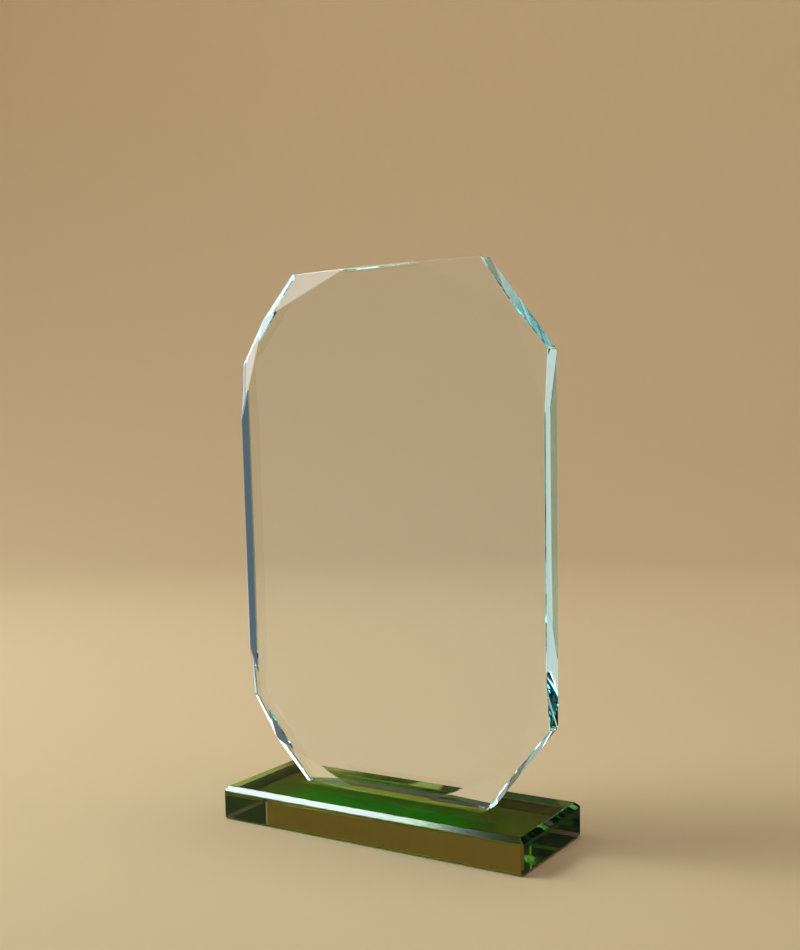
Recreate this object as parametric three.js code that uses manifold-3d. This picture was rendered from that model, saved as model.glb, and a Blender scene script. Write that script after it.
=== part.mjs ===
// Crystal award: a flat eight-sided glass plaque that stands upright, glued along its bottom edge
// to the middle of a rectangular green glass base. Nothing on it moves.
//
// Millimetres, +Z up. The origin is the centre of the base's underside. X runs along the base and
// the plaque's front faces -Y.
import * as THREE from 'three';
import { mergeVertices } from 'three/addons/utils/BufferGeometryUtils.js';
import Module from 'manifold-3d';

// Driving dimensions
const PLAQUE_WIDTH = 130;
const PLAQUE_HEIGHT = 195;
const PLAQUE_THICKNESS = 10;
const CORNER_CUT_ACROSS = 25; // each corner is cut off over this much of its horizontal edge
const CORNER_CUT_DOWN = 32; // and over this much of its upright edge

// Each of the eight corners left by those cuts is ground back on the front face.
const FACET_LEG_ACROSS = 26; // where a facet starts on a horizontal edge, from the corner
const FACET_LEG_DOWN = 22; // where a facet starts on an upright edge, from the corner
const FACET_DEPTH = 2.5; // how far behind the front face the corner itself ends up

const BASE_LENGTH = PLAQUE_WIDTH; // the base is as long as the plaque is wide
const BASE_DEPTH = 48;
const BASE_HEIGHT = 13;
const BASE_TOP_CHAMFER = 1.8;
const BASE_SMALL_CHAMFER = 0.8; // on the bottom and upright edges

const GLUE_THICKNESS = 0.2;
const GLUE_INSET = 0.4; // the glue stops this far inside the edges of the face that it holds

const FRONT_Y = -PLAQUE_THICKNESS / 2;

const wasm = await Module();
wasm.setup();

// A closed three.js geometry as a solid that can be cut.
function toSolid(geometry) {
  const bare = geometry.clone();
  bare.deleteAttribute('normal');
  bare.deleteAttribute('uv');
  const merged = mergeVertices(bare);
  return new wasm.Manifold(new wasm.Mesh({
    numProp: 3,
    vertProperties: merged.attributes.position.array,
    triVerts: Uint32Array.from(merged.index.array),
  }));
}

// A solid back as a three.js geometry with flat faces.
function toGeometry(solid) {
  const { vertProperties, triVerts } = solid.getMesh();
  const shared = new THREE.BufferGeometry();
  shared.setAttribute('position', new THREE.BufferAttribute(vertProperties, 3));
  shared.setIndex(new THREE.BufferAttribute(triVerts, 1));
  const geometry = shared.toNonIndexed();
  geometry.computeVertexNormals();
  return geometry;
}

// Grinds a flat on a solid: takes away all that lies on the far side of the plane through three
// points, and keeps the side that the solid's own centre is on.
function grindFlat(solid, a, b, c) {
  const plane = new THREE.Plane().setFromCoplanarPoints(a, b, c);
  if (plane.distanceToPoint(new THREE.Vector3()) < 0) plane.negate();
  return solid.trimByPlane(plane.normal.toArray(), -plane.constant);
}

// Grinds a chamfer of equal legs on the edge where two faces of a centred box meet.
// Each face is given as a vector from the centre to the middle of that face.
function grindChamfer(solid, faceA, faceB, leg) {
  const edge = faceA.clone().add(faceB);
  const along = new THREE.Vector3().crossVectors(faceA, faceB);
  const onA = edge.clone().addScaledVector(faceB.clone().normalize(), -leg);
  const onB = edge.clone().addScaledVector(faceA.clone().normalize(), -leg);
  return grindFlat(solid, onA, onB, onA.clone().add(along));
}

// One quarter of the plaque's outline and its facets. sideX and sideZ are 1 or -1.
function plaqueCorner(sideX, sideZ) {
  const at = (x, z) => new THREE.Vector2(sideX * x, sideZ * z);
  const halfWidth = PLAQUE_WIDTH / 2;
  const halfHeight = PLAQUE_HEIGHT / 2;
  const onHorizontal = at(halfWidth - CORNER_CUT_ACROSS, halfHeight);
  const onUpright = at(halfWidth, halfHeight - CORNER_CUT_DOWN);
  return {
    onHorizontal,
    onUpright,
    cutMiddle: onHorizontal.clone().lerp(onUpright, 0.5),
    facetOnHorizontal: at(halfWidth - CORNER_CUT_ACROSS - FACET_LEG_ACROSS, halfHeight),
    facetOnUpright: at(halfWidth, halfHeight - CORNER_CUT_DOWN - FACET_LEG_DOWN),
  };
}

function plaqueGeometry() {
  const topRight = plaqueCorner(1, 1);
  const topLeft = plaqueCorner(-1, 1);
  const bottomLeft = plaqueCorner(-1, -1);
  const bottomRight = plaqueCorner(1, -1);

  const outline = new THREE.Shape([
    topRight.onUpright, topRight.onHorizontal,
    topLeft.onHorizontal, topLeft.onUpright,
    bottomLeft.onUpright, bottomLeft.onHorizontal,
    bottomRight.onHorizontal, bottomRight.onUpright,
  ]);
  const sheet = new THREE.ExtrudeGeometry(outline, { depth: PLAQUE_THICKNESS, bevelEnabled: false });
  sheet.translate(0, 0, -PLAQUE_THICKNESS / 2);
  sheet.rotateX(Math.PI / 2);

  const inFront = (point) => new THREE.Vector3(point.x, FRONT_Y, point.y);
  const setBack = (point) => new THREE.Vector3(point.x, FRONT_Y + FACET_DEPTH, point.y);
  let solid = toSolid(sheet);
  for (const corner of [topRight, topLeft, bottomLeft, bottomRight]) {
    const middle = inFront(corner.cutMiddle);
    solid = grindFlat(solid, inFront(corner.facetOnHorizontal), middle, setBack(corner.onHorizontal));
    solid = grindFlat(solid, inFront(corner.facetOnUpright), middle, setBack(corner.onUpright));
  }
  return toGeometry(solid);
}

function baseGeometry() {
  const top = new THREE.Vector3(0, 0, BASE_HEIGHT / 2);
  const bottom = top.clone().negate();
  const back = new THREE.Vector3(0, BASE_DEPTH / 2, 0);
  const right = new THREE.Vector3(BASE_LENGTH / 2, 0, 0);
  const walls = [right, back, right.clone().negate(), back.clone().negate()];

  let solid = toSolid(new THREE.BoxGeometry(BASE_LENGTH, BASE_DEPTH, BASE_HEIGHT));
  walls.forEach((wall, i) => {
    const nextWall = walls[(i + 1) % walls.length];
    solid = grindChamfer(solid, wall, top, BASE_TOP_CHAMFER);
    solid = grindChamfer(solid, wall, bottom, BASE_SMALL_CHAMFER);
    solid = grindChamfer(solid, wall, nextWall, BASE_SMALL_CHAMFER);
  });
  return toGeometry(solid);
}

function glueGeometry() {
  const glueLength = PLAQUE_WIDTH - 2 * CORNER_CUT_ACROSS - 2 * GLUE_INSET;
  return new THREE.BoxGeometry(glueLength, PLAQUE_THICKNESS - 2 * GLUE_INSET, GLUE_THICKNESS);
}

function piece(name, geometry, centreZ, look) {
  const mesh = new THREE.Mesh(geometry, new THREE.MeshStandardMaterial({ metalness: 0, ...look }));
  mesh.name = name;
  mesh.position.z = centreZ;
  return mesh;
}

const award = new THREE.Group();
award.add(
  piece('base', baseGeometry(), BASE_HEIGHT / 2, { color: 0x1f4f2b, roughness: 0.05 }),
  piece('glue_film', glueGeometry(), BASE_HEIGHT + GLUE_THICKNESS / 2, { color: 0xe9ecd8, roughness: 0.2 }),
  piece(
    'plaque',
    plaqueGeometry(),
    BASE_HEIGHT + GLUE_THICKNESS + PLAQUE_HEIGHT / 2,
    { color: 0xdcebe6, roughness: 0.03 },
  ),
);

export default award;
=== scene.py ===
"""Crystal award: an eight-sided clear glass plaque glued upright on a dark green glass base.

Metres, +Z up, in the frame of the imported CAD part: the plaque's front faces -Y, and the base
stands on the floor at z = 0. The pieces are made from the CAD nodes' own meshes.
"""
import math

import bmesh
import bpy
from mathutils import Euler, Matrix, Vector


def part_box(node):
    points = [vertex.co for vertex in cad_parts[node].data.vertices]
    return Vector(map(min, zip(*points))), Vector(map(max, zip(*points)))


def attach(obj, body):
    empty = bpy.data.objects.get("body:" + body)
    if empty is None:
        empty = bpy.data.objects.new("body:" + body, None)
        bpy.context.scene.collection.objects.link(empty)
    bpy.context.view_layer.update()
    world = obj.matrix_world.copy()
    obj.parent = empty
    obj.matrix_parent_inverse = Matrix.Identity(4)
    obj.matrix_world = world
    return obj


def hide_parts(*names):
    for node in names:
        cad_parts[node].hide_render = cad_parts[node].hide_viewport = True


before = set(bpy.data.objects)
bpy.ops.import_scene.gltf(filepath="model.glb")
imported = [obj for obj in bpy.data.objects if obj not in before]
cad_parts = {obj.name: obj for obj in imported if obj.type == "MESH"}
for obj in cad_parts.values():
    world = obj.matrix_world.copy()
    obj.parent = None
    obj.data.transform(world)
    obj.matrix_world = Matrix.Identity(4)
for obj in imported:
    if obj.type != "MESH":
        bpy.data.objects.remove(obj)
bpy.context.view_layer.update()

MM = 0.001

# Glass edges
PLAQUE_ARRIS = 0.8 * MM        # the fine polished bevel along the plaque's edges
BASE_ARRIS = 0.25 * MM
GLUE_ARRIS = 0.03 * MM
ARRIS_SEGMENTS = 2
ARRIS_PROFILE = 0.5            # round
SHARP_ANGLE = math.radians(4)  # edges that turn by less get no bevel
SAME_FLAT = math.radians(0.2)  # CAD faces that turn by less are made one
WELD_REACH = 0.001 * MM
CUT_REACH = 0.0001 * MM
FLAT_NORMAL = 0.99             # a face this close to level is a top or a bottom

# Faces that glue holds together have no air between them, so light goes straight through
GLUED = "glued"
GLUED_REACH = 0.03 * MM
GLUE_SPREAD = 0.4 * MM         # pressed-out glue reaches the plaque's edges
GLUE_CLEARANCE = 0.01 * MM     # keeps the film's faces from lying exactly on the glass's

# Index of refraction, the share of red, green and blue absorbed, and the density per metre
GLASS_IOR = 1.52
GLUE_IOR = 1.49
CLEAR_ABSORBED = (1.0, 0.24, 0.16)
CLEAR_DENSITY = 2.8
GREEN_ABSORBED = (0.61, 0.25, 1.0)
GREEN_DENSITY = 32.0
GLUE_ABSORBED = (0.1, 0.1, 0.4)
GLUE_DENSITY = 50.0

# Painted light and shade on the green glass: a surface tint for each face, standing in for the light
# and shade seen through the base
FRONT_PAINTED_SHADE = (0.66, 0.32, 0.3)        # the front and the back
END_PAINTED_SHADE = (0.36, 0.12, 0.5)
END_CHAMFER_PAINTED_SHADE = (0.05, 0.03, 0.4)
TOP_PAINTED_SHADE = (0.56, 0.6, 0.2)
BACK_PAINTED_SHADE = (0.62, 0.56, 0.18)        # the top behind the plaque
# painted light: a green glow on the top before the plaque, standing in for light that comes down
# through the glued joint
PAINTED_GLOW = (0.2, 1.0, 0.15)          # the top before the plaque
PAINTED_GLOW_FADE = 8 * MM
BACK_PAINTED_SHADE_FADE = 1 * MM

# Polish
SMEAR_SIZE = 35 * MM            # faint smears that are less polished
SMEAR_DETAIL = 3
SMEAR_NOISE = (0.55, 0.8)       # the noise where smears begin and where they are full
SMEAR_ROUGHNESS = 0.03
GROUND_ROUGHNESS = 0.1          # the long chamfers keep a little of their grinding
FOOT_HEIGHT = 1 * MM            # the chamfers under the base are left ground
FOOT_ROUGHNESS = 0.6
FOOT_SLANT = 0.3                # a face whose normal's Z is less is a side
LONG_CHAMFER = (0.3, 0.5)       # the normal's Y times Z, which is 0.5 on a chamfer at 45 degrees
# END_CHAMFER picks out the ends' chamfers for their painted dark shade; it sets no polish
END_CHAMFER = (0.25, 0.45)      # the normal's X times Z
WAVE_SIZE = 30 * MM             # the slow waves that hand polishing leaves
WAVE_DETAIL = 1
WAVE_HEIGHT = 0.008 * MM
# painted shade: the plaque is painted nearly black where a reflection shows it
PLAQUE_REFLECTION_PAINTED_SHADE = 0.01          # how bright the plaque is in a mirror, against clear glass

# Stage
FLOOR_GAP = 0.15 * MM           # the floor lies this far under the base, as cloth does
STAGE_FLAT_RADIUS = 0.9
STAGE_CURVE_RADIUS = 0.7
STAGE_WALL_HEIGHT = 0.5
STAGE_TURNS = 96
STAGE_CURVE_STEPS = 16
STAGE_COLOUR = (0.57, 0.42, 0.245)
STAGE_ROUGHNESS = 0.9
STAGE_SPECULAR = 0.1

# Painted reflection cards: glowing colour painted on the stage, seen only in light that glass has
# mirrored. Each has a colour, a compass way from +Y, and the angles where its soft edge ends and begins
PAINTED_REFLECTION_CARDS = (
    ((0.085, 0.13, 0.165), math.radians(48), math.radians(30), math.radians(22)),
    ((0.8, 0.9, 0.95), math.radians(-2), math.radians(20), math.radians(14)),
    ((0.95, 0.88, 0.78), math.radians(-125), math.radians(65), math.radians(45)),
)
HALF_A_BOUNCE = 0.5             # parts light that has been mirrored from light that hasn't

# Lights: name, place, what it points at, width, height, watts and colour
LIGHTS = (
    ("window", (-0.99, -0.46, 0.71), (0, 0, 0.1), 0.95, 1.2, 15.5, (0.83, 0.94, 1.0)),
    ("skylight", (-0.735, -0.325, 0.9), (0, 0, 0), 0.3, 0.3, 4, (0.8, 1.0, 0.98)),
    ("ceiling", (0.4, 0.1, 1.7), (0, 0, 0), 1.0, 1.0, 8, (1, 1, 1)),
    ("backdrop_light", (-0.2, 0.3, 1.5), (-0.85, 1.35, 0.4), 0.8, 0.8, 7, (1, 1, 1)),
    ("back_light", (0.1, 1.05, 0.5), (0, 0, 0.1), 0.4, 0.25, 0.4, (1, 1, 1)),
)
WORLD_COLOUR = (0.7, 0.85, 1.0)
WORLD_STRENGTH = 0.03
LIGHT_BOUNCES = 100             # light goes from face to face many times inside the plaque

# Camera
CAMERA_PLACE = (0.2425, -0.3789, 0.1525)
CAMERA_YAW = math.radians(32.24)     # turned to the left of looking straight along +Y
CAMERA_PITCH = math.radians(7.34)    # looking down
CAMERA_ROLL = math.radians(-1.19)
CAMERA_LENS = 46.39
CAMERA_SHIFT_UP = 0.1105
CAMERA_NEAR = 0.01
CAMERA_FAR = 20


# ---------------------------------------------------------------- nodes

def new_material(name):
    material = bpy.data.materials.new(name)
    material.use_nodes = True
    tree = material.node_tree
    return material, tree, tree.nodes["Principled BSDF"], tree.nodes["Material Output"]


def math_node(tree, operation, *values):
    """A Math node's result; each value is a number or another node's output."""
    node = tree.nodes.new("ShaderNodeMath")
    node.operation = operation
    for socket, value in zip(node.inputs, values):
        if isinstance(value, bpy.types.NodeSocket):
            tree.links.new(value, socket)
        else:
            socket.default_value = value
    return node.outputs["Value"]


def product(tree, *values):
    result = values[0]
    for value in values[1:]:
        result = math_node(tree, "MULTIPLY", result, value)
    return result


def vector_math(tree, operation, vector, other=None):
    node = tree.nodes.new("ShaderNodeVectorMath")
    node.operation = operation
    tree.links.new(vector, node.inputs[0])
    if other:
        node.inputs[1].default_value = other
    return node.outputs


def split(tree, vector):
    """The X, Y and Z of a vector."""
    node = tree.nodes.new("ShaderNodeSeparateXYZ")
    tree.links.new(vector, node.inputs["Vector"])
    return node.outputs["X"], node.outputs["Y"], node.outputs["Z"]


def noise(tree, place, size, detail):
    """Smooth noise from 0 to 1 whose lumps are about size metres across."""
    node = tree.nodes.new("ShaderNodeTexNoise")
    node.inputs["Scale"].default_value = 1 / size
    node.inputs["Detail"].default_value = detail
    tree.links.new(place.outputs["Object"], node.inputs["Vector"])
    return node.outputs["Fac"]


def remap(tree, value, low, high, start=0, end=1):
    """Maps value from low..high to start..end and holds it there."""
    node = tree.nodes.new("ShaderNodeMapRange")
    for name, number in (("From Min", low), ("From Max", high), ("To Min", start), ("To Max", end)):
        node.inputs[name].default_value = number
    tree.links.new(value, node.inputs["Value"])
    return node.outputs["Result"]


def blend(tree, share, colour_0, colour_1):
    """A colour that goes from colour_0 to colour_1 as share goes from 0 to 1."""
    node = tree.nodes.new("ShaderNodeMix")
    node.data_type = "RGBA"
    tree.links.new(share, node.inputs["Factor"])
    sockets = [socket for socket in node.inputs if socket.type == "RGBA"]
    for socket, colour in zip(sockets, (colour_0, colour_1)):
        if isinstance(colour, bpy.types.NodeSocket):
            tree.links.new(colour, socket)
        else:
            socket.default_value = colour + (1,)
    return next(socket for socket in node.outputs if socket.type == "RGBA")


# ---------------------------------------------------------------- materials

def glass_ior(tree, ior):
    """The glass's index, or 1 on glued faces, except to light that was mirrored inside."""
    glued = tree.nodes.new("ShaderNodeAttribute")
    glued.attribute_name = GLUED
    path = tree.nodes.new("ShaderNodeLightPath")
    direct = math_node(tree, "LESS_THAN", path.outputs["Glossy Depth"], HALF_A_BOUNCE)
    return remap(tree, product(tree, glued.outputs["Fac"], direct), 0, 1, ior, 1)


def glass_roughness(tree, place):
    """Faint smears, a little grinding on the long chamfers, and ground chamfers at the foot."""
    smears = remap(tree, noise(tree, place, SMEAR_SIZE, SMEAR_DETAIL), *SMEAR_NOISE, 0, SMEAR_ROUGHNESS)
    _, facing_y, facing_z = split(tree, place.outputs["Normal"])
    slant = math_node(tree, "ABSOLUTE", product(tree, facing_y, facing_z))
    ground = remap(tree, slant, *LONG_CHAMFER, 0, GROUND_ROUGHNESS)
    _, _, height = split(tree, place.outputs["Object"])
    level = math_node(tree, "ABSOLUTE", facing_z)
    foot = product(
        tree,
        math_node(tree, "LESS_THAN", height, FOOT_HEIGHT),
        math_node(tree, "LESS_THAN", level, FLAT_NORMAL),
        math_node(tree, "GREATER_THAN", level, FOOT_SLANT),
        FOOT_ROUGHNESS,
    )
    return math_node(tree, "ADD", math_node(tree, "ADD", smears, ground), foot)


def glass_material(name, ior, absorbed, density, tint=None):
    """Polished glass that takes off more of each colour the further light goes through it.

    tint(tree, place) gives the painted light and shade on its surface, which is white without it.
    """
    material, tree, principled, output = new_material(name)
    place = tree.nodes.new("ShaderNodeTexCoord")
    principled.inputs["Transmission Weight"].default_value = 1.0
    principled.inputs["Base Color"].default_value = (1, 1, 1, 1)
    if tint:
        tree.links.new(tint(tree, place), principled.inputs["Base Color"])
    principled.inputs["IOR"].default_value = ior
    tree.links.new(glass_ior(tree, ior), principled.inputs["IOR"])
    tree.links.new(glass_roughness(tree, place), principled.inputs["Roughness"])

    bump = tree.nodes.new("ShaderNodeBump")
    bump.inputs["Distance"].default_value = WAVE_HEIGHT
    tree.links.new(noise(tree, place, WAVE_SIZE, WAVE_DETAIL), bump.inputs["Height"])
    tree.links.new(bump.outputs["Normal"], principled.inputs["Normal"])

    volume = tree.nodes.new("ShaderNodeVolumeAbsorption")
    volume.inputs["Color"].default_value = tuple(1 - share for share in absorbed) + (1,)
    volume.inputs["Density"].default_value = density
    tree.links.new(volume.outputs["Volume"], output.inputs["Volume"])
    return material


def painted_reflection_shade(tree, place):
    """White, with painted shade that makes it nearly black where another surface mirrors it, like the
    darkening a polarising filter gives.
    """
    path = tree.nodes.new("ShaderNodeLightPath")
    side = tree.nodes.new("ShaderNodeNewGeometry")
    outside = math_node(tree, "SUBTRACT", 1, side.outputs["Backfacing"])
    mirrored = product(tree, path.outputs["Is Glossy Ray"], outside)
    return blend(tree, mirrored, (1, 1, 1), (PLAQUE_REFLECTION_PAINTED_SHADE,) * 3)


def green_painted_light_and_shade(tree, place):
    """Painted light and shade, face by face: painted olive shade on the top, a painted green glow
    before the plaque, painted brown shade behind it and on the front and back, and painted dark shade
    on the ends and their chamfers.
    """
    low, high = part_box("glue_film")
    spot_x, spot_y, _ = split(tree, place.outputs["Object"])
    from_middle = math_node(tree, "ABSOLUTE", spot_x)
    along = remap(tree, from_middle, high.x + PAINTED_GLOW_FADE, high.x - PAINTED_GLOW_FADE)
    before = remap(tree, spot_y, high.y, low.y)
    behind = remap(tree, spot_y, high.y - BACK_PAINTED_SHADE_FADE, high.y + BACK_PAINTED_SHADE_FADE)
    # painted light: the green glow on the top before the plaque
    top = blend(tree, product(tree, along, before), TOP_PAINTED_SHADE, PAINTED_GLOW)
    # painted shade: the top behind the plaque is browner
    top = blend(tree, behind, top, BACK_PAINTED_SHADE)

    facing_x, _, facing_z = split(tree, place.outputs["Normal"])
    level = math_node(tree, "POWER", math_node(tree, "ABSOLUTE", facing_z), 2)
    end = math_node(tree, "POWER", math_node(tree, "ABSOLUTE", facing_x), 2)
    # painted shade: brown on the front and back, dark on the ends
    tint = blend(tree, level, blend(tree, end, FRONT_PAINTED_SHADE, END_PAINTED_SHADE), top)
    # painted shade: nearly black on the chamfers at the ends
    slant = math_node(tree, "ABSOLUTE", product(tree, facing_x, facing_z))
    return blend(tree, remap(tree, slant, *END_CHAMFER), tint, END_CHAMFER_PAINTED_SHADE)


def clear_glass():
    return glass_material("clear_glass", GLASS_IOR, CLEAR_ABSORBED, CLEAR_DENSITY, painted_reflection_shade)


def green_glass():
    return glass_material("green_glass", GLASS_IOR, GREEN_ABSORBED, GREEN_DENSITY, green_painted_light_and_shade)


def uv_glue():
    return glass_material("uv_glue", GLUE_IOR, GLUE_ABSORBED, GLUE_DENSITY)


def toward(tree, place, way, wide, narrow):
    """1 where the stage lies toward way from the middle, and 0 beyond the angle wide from it."""
    flat = vector_math(tree, "MULTIPLY", place.outputs["Object"], (1, 1, 0))["Vector"]
    unit = vector_math(tree, "NORMALIZE", flat)["Vector"]
    ahead = (math.sin(way), math.cos(way), 0)
    along = vector_math(tree, "DOT_PRODUCT", unit, ahead)["Value"]
    return remap(tree, along, math.cos(wide), math.cos(narrow))


def stage_material():
    """Sand-coloured paper. Where glass has mirrored the light, it shows painted reflection cards:
    glowing colour painted on the paper that stands in for a studio round it.
    """
    material, tree, principled, output = new_material("stage_paper")
    principled.inputs["Base Color"].default_value = STAGE_COLOUR + (1,)
    principled.inputs["Roughness"].default_value = STAGE_ROUGHNESS
    principled.inputs["Specular IOR Level"].default_value = STAGE_SPECULAR
    place = tree.nodes.new("ShaderNodeTexCoord")
    path = tree.nodes.new("ShaderNodeLightPath")
    mirrored = math_node(tree, "GREATER_THAN", path.outputs["Glossy Depth"], HALF_A_BOUNCE)
    shader = principled.outputs["BSDF"]
    for colour, way, wide, narrow in PAINTED_REFLECTION_CARDS:
        # each card is glowing colour painted on the paper, seen only in mirrored light: a painted
        # reflection
        card = tree.nodes.new("ShaderNodeEmission")
        card.inputs["Color"].default_value = colour + (1,)
        mix = tree.nodes.new("ShaderNodeMixShader")
        share = toward(tree, place, way, wide, narrow)
        tree.links.new(product(tree, mirrored, share), mix.inputs[0])
        tree.links.new(shader, mix.inputs[1])
        tree.links.new(card.outputs["Emission"], mix.inputs[2])
        shader = mix.outputs["Shader"]
    tree.links.new(shader, output.inputs["Surface"])
    return material


# ---------------------------------------------------------------- pieces

def add_object(name, mesh):
    added = bpy.data.objects.new(name, mesh)
    bpy.context.scene.collection.objects.link(added)
    return added


def at_glue(face, low, high):
    """True if this face is level and at the height of the glue's box."""
    height = face.calc_center_median().z
    return abs(face.normal.z) > FLAT_NORMAL and low.z - GLUED_REACH < height < high.z + GLUED_REACH


def mark_glued(shape):
    """Cuts the level faces along the glue's outline and marks those inside it."""
    low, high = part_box("glue_film")
    low -= Vector((GLUE_SPREAD, GLUE_SPREAD, 0))
    high += Vector((GLUE_SPREAD, GLUE_SPREAD, 0))
    for axis, places in ((0, (low.x, high.x)), (1, (low.y, high.y))):
        for at in places:
            normal = Vector(1 if i == axis else 0 for i in range(3))
            level = [f for f in shape.faces if at_glue(f, low, high)]
            cut = dict.fromkeys(level)  # unlike a set, this keeps its order
            for face in level:
                cut.update(dict.fromkeys((*face.edges, *face.verts)))
            bmesh.ops.bisect_plane(
                shape, geom=list(cut), plane_co=normal * at, plane_no=normal, dist=CUT_REACH,
            )
    glued = shape.faces.layers.float.new(GLUED)
    for face in shape.faces:
        centre = face.calc_center_median()
        inside = low.x < centre.x < high.x and low.y < centre.y < high.y
        face[glued] = float(inside and at_glue(face, low, high))


def glass_piece(name, node, material, arris, clearance=0):
    """A CAD node's shape with its flats made whole and a fine bevel ground along its edges.

    clearance is how far its top comes down and its bottom comes up.
    """
    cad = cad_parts[node]
    shape = bmesh.new()
    shape.from_mesh(cad.data)
    bmesh.ops.remove_doubles(shape, verts=shape.verts, dist=WELD_REACH)
    bmesh.ops.dissolve_limit(
        shape, angle_limit=SAME_FLAT, verts=shape.verts, edges=shape.edges,
    )
    glue_low, glue_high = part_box("glue_film")
    # The plaque's foot keeps its full width where the glue holds it
    sharp = [
        e for e in shape.edges
        if e.calc_face_angle(0) > SHARP_ANGLE
        and not all(glue_low.z < v.co.z < glue_high.z + GLUED_REACH for v in e.verts)
    ]
    bmesh.ops.bevel(
        shape, geom=sharp, offset=arris, offset_type="WIDTH", segments=ARRIS_SEGMENTS,
        profile=ARRIS_PROFILE, affect="EDGES", clamp_overlap=True,
    )
    mark_glued(shape)
    low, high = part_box(node)
    middle = (low.z + high.z) / 2
    for vert in shape.verts:
        vert.co.z += math.copysign(clearance, middle - vert.co.z)
    mesh = bpy.data.meshes.new(name)
    shape.to_mesh(mesh)
    shape.free()
    mesh.materials.append(material)
    piece = add_object(name, mesh)
    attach(piece, "root")
    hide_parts(node)


# ---------------------------------------------------------------- stage, lights, camera

def stage_profile():
    """The radius and height of each ring of the stage, from the floor up its curve and wall."""
    rings = [(STAGE_FLAT_RADIUS, 0.0)]
    for i in range(1, STAGE_CURVE_STEPS + 1):
        turn = math.pi / 2 * i / STAGE_CURVE_STEPS
        rings.append((
            STAGE_FLAT_RADIUS + STAGE_CURVE_RADIUS * math.sin(turn),
            STAGE_CURVE_RADIUS * (1 - math.cos(turn)),
        ))
    rim_radius, rim_height = rings[-1]
    rings.append((rim_radius, rim_height + STAGE_WALL_HEIGHT))
    return rings


def stage_bowl():
    """A round floor that curves up into a low wall all round."""
    shape = bmesh.new()
    centre = shape.verts.new((0, 0, -FLOOR_GAP))
    rings = []
    for radius, height in stage_profile():
        rings.append([
            shape.verts.new((
                radius * math.cos(2 * math.pi * k / STAGE_TURNS),
                radius * math.sin(2 * math.pi * k / STAGE_TURNS),
                height - FLOOR_GAP,
            ))
            for k in range(STAGE_TURNS)
        ])
    for k in range(STAGE_TURNS):
        after = (k + 1) % STAGE_TURNS
        shape.faces.new((centre, rings[0][k], rings[0][after]))
        for low, high in zip(rings, rings[1:]):
            shape.faces.new((low[k], high[k], high[after], low[after]))
    bmesh.ops.recalc_face_normals(shape, faces=shape.faces)
    mesh = bpy.data.meshes.new("stage")
    shape.to_mesh(mesh)
    shape.free()
    for polygon in mesh.polygons:
        polygon.use_smooth = True
    mesh.materials.append(stage_material())
    stage = add_object("stage", mesh)
    stage.visible_glossy = False  # the glass mirrors the lamps and the dark studio only


def soft_light(name, place, target, width, height, power, colour):
    data = bpy.data.lights.new(name, "AREA")
    data.shape = "RECTANGLE"
    data.size = width
    data.size_y = height
    data.energy = power
    data.color = colour
    light = add_object(name, data)
    light.location = place
    light.rotation_euler = (Vector(target) - Vector(place)).to_track_quat("-Z", "Y").to_euler()
    light.visible_camera = False


def world_light():
    world = bpy.data.worlds.new("studio")
    world.use_nodes = True
    background = world.node_tree.nodes["Background"]
    background.inputs["Color"].default_value = WORLD_COLOUR + (1,)
    background.inputs["Strength"].default_value = WORLD_STRENGTH
    bpy.context.scene.world = world


def camera():
    data = bpy.data.cameras.new("camera")
    data.lens = CAMERA_LENS
    data.shift_y = CAMERA_SHIFT_UP
    data.clip_start = CAMERA_NEAR
    data.clip_end = CAMERA_FAR
    view = add_object("camera", data)
    aim = Euler((math.pi / 2 - CAMERA_PITCH, 0, CAMERA_YAW), "XYZ").to_matrix().to_4x4()
    roll = Matrix.Rotation(CAMERA_ROLL, 4, "Z")
    view.matrix_world = Matrix.Translation(CAMERA_PLACE) @ aim @ roll
    bpy.context.scene.camera = view


# ---------------------------------------------------------------- scene

glass_piece("plaque_glass", "plaque", clear_glass(), PLAQUE_ARRIS)
glass_piece("glue_line", "glue_film", uv_glue(), GLUE_ARRIS, GLUE_CLEARANCE)
glass_piece("base_glass", "base", green_glass(), BASE_ARRIS)

stage_bowl()
for light_values in LIGHTS:
    soft_light(*light_values)
world_light()
camera()

bpy.context.scene.view_settings.view_transform = "Standard"
for kind in ("max_bounces", "glossy_bounces", "transmission_bounces"):
    setattr(bpy.context.scene.cycles, kind, LIGHT_BOUNCES)
